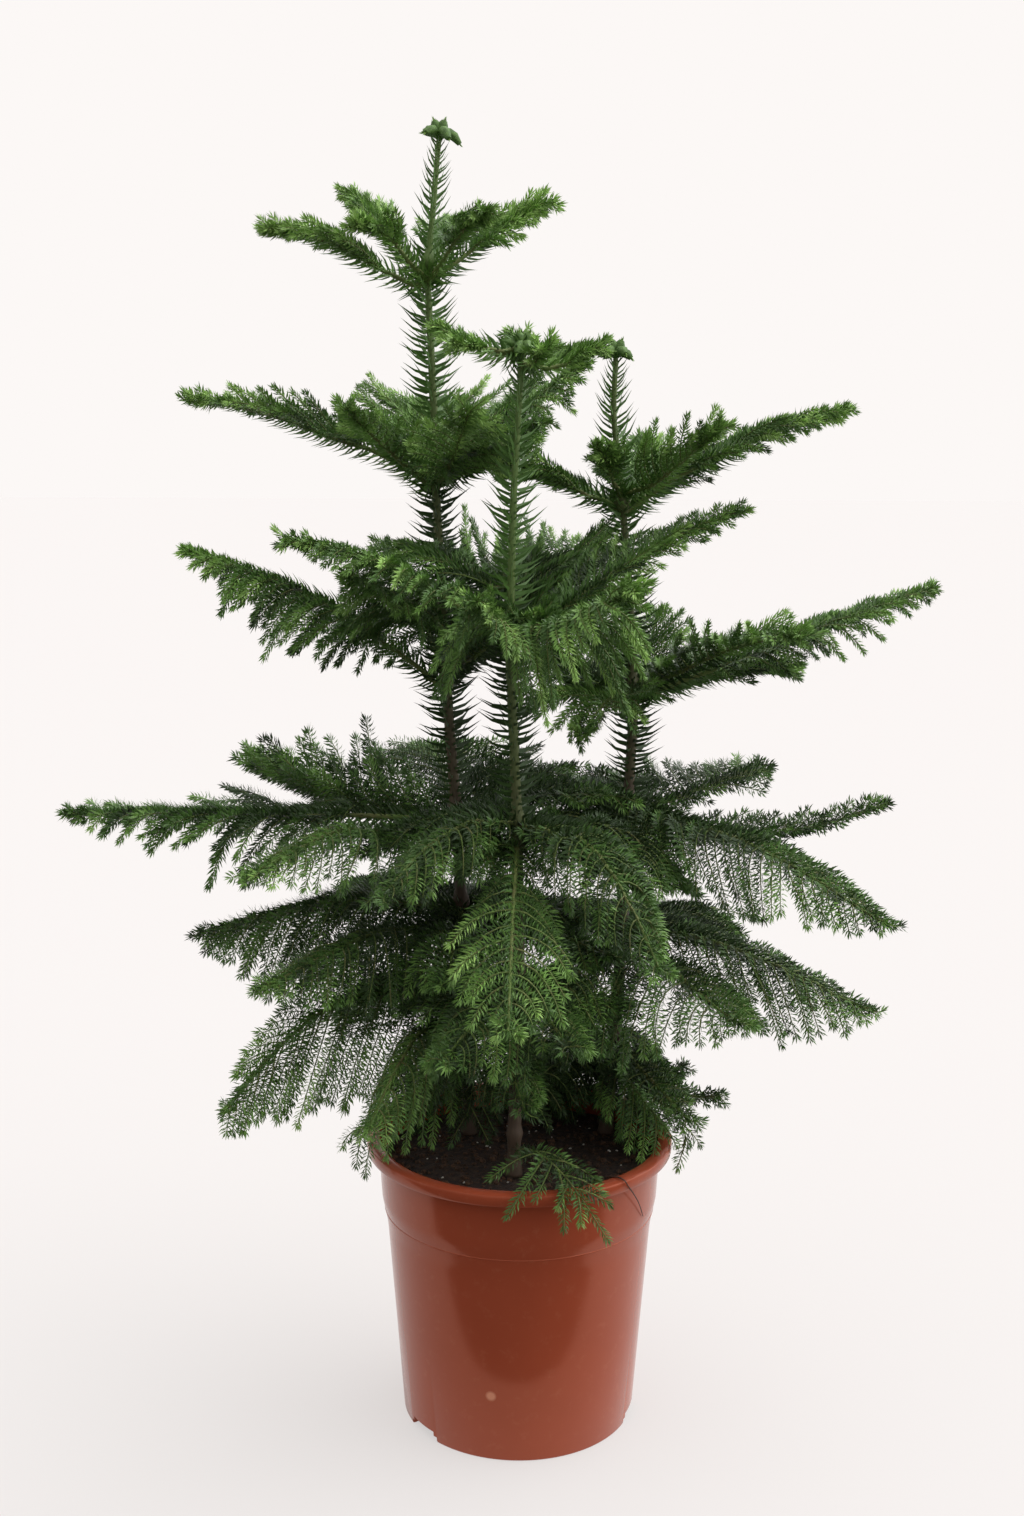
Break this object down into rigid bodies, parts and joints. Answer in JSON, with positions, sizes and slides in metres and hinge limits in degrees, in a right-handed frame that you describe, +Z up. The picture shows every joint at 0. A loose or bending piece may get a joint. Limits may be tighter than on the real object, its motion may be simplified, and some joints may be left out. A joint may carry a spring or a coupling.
{
  "type": "potted norfolk island pine",
  "caption": "Young Norfolk Island pine with upright stems carrying tiers of flat, needle-covered boughs, rooted together in a round tapered plastic nursery pot.",
  "frame": {"origin": "centre of the pot's flat underside", "axes": "+Z up along the pot; the long boughs spread along +X and -X; -Y is the front"},
  "size_m": [0.5897, 0.3949, 0.8745],
  "materials": {
    "pot_plastic": "terracotta-coloured moulded plastic, satin",
    "potting_soil": "dark moist peat with crumbs",
    "bark": "rough young bark, green towards the tip",
    "foliage": "soft satin green needles"
  },
  "bodies": {
    "root": {"bough_front_2_left": "bark", "bough_right_1_right": "bark", "bough_right_2_right": "bark", "bough_tall_2_left": "bark", "bough_tall_3_left": "bark", "bough_tall_4_left": "bark", "pot": "pot_plastic", "soil": "potting_soil", "spray_front_1_back_left": "foliage", "spray_front_1_front_left": "foliage", "spray_front_1_right": "foliage", "spray_front_2_back_right": "foliage", "spray_front_2_front_right": "foliage", "spray_front_2_left": "foliage", "spray_front_3_front": "foliage", "spray_front_3_front_left": "foliage", "spray_front_3_front_right": "foliage", "spray_front_4_front_left": "foliage", "spray_front_5_front_right": "foliage", "spray_right_1_back": "foliage", "spray_right_1_front_right": "foliage", "spray_right_1_left": "foliage", "spray_right_1_right": "foliage", "spray_right_2_back": "foliage", "spray_right_2_back_right": "foliage", "spray_right_2_front_left": "foliage", "spray_right_2_front_right": "foliage", "spray_right_2_right": "foliage", "spray_right_3_back_right": "foliage", "spray_right_3_front_right": "foliage", "spray_right_3_right": "foliage", "spray_right_4_back": "foliage", "spray_right_4_front": "foliage", "spray_right_4_right": "foliage", "spray_right_5_front_right": "foliage", "spray_right_5_right": "foliage", "spray_tall_1_back_left": "foliage", "spray_tall_1_front_left": "foliage", "spray_tall_1_left": "foliage", "spray_tall_1_right": "foliage", "spray_tall_2_back": "foliage", "spray_tall_2_front": "foliage", "spray_tall_2_front_left": "foliage", "spray_tall_2_left": "foliage", "spray_tall_2_right": "foliage", "spray_tall_3_back_left": "foliage", "spray_tall_3_back_right": "foliage", "spray_tall_3_left": "foliage", "spray_tall_4_back": "foliage", "spray_tall_4_back_left": "foliage", "spray_tall_4_front_left": "foliage", "spray_tall_4_left": "foliage", "spray_tall_5_back": "foliage", "spray_tall_5_front_left": "foliage", "spray_tall_5_left": "foliage", "spray_tall_6_front_left": "foliage", "spray_tall_6_left": "foliage", "stem_front": "bark", "stem_right": "bark", "stem_tall": "bark"}
  },
  "joints": []
}
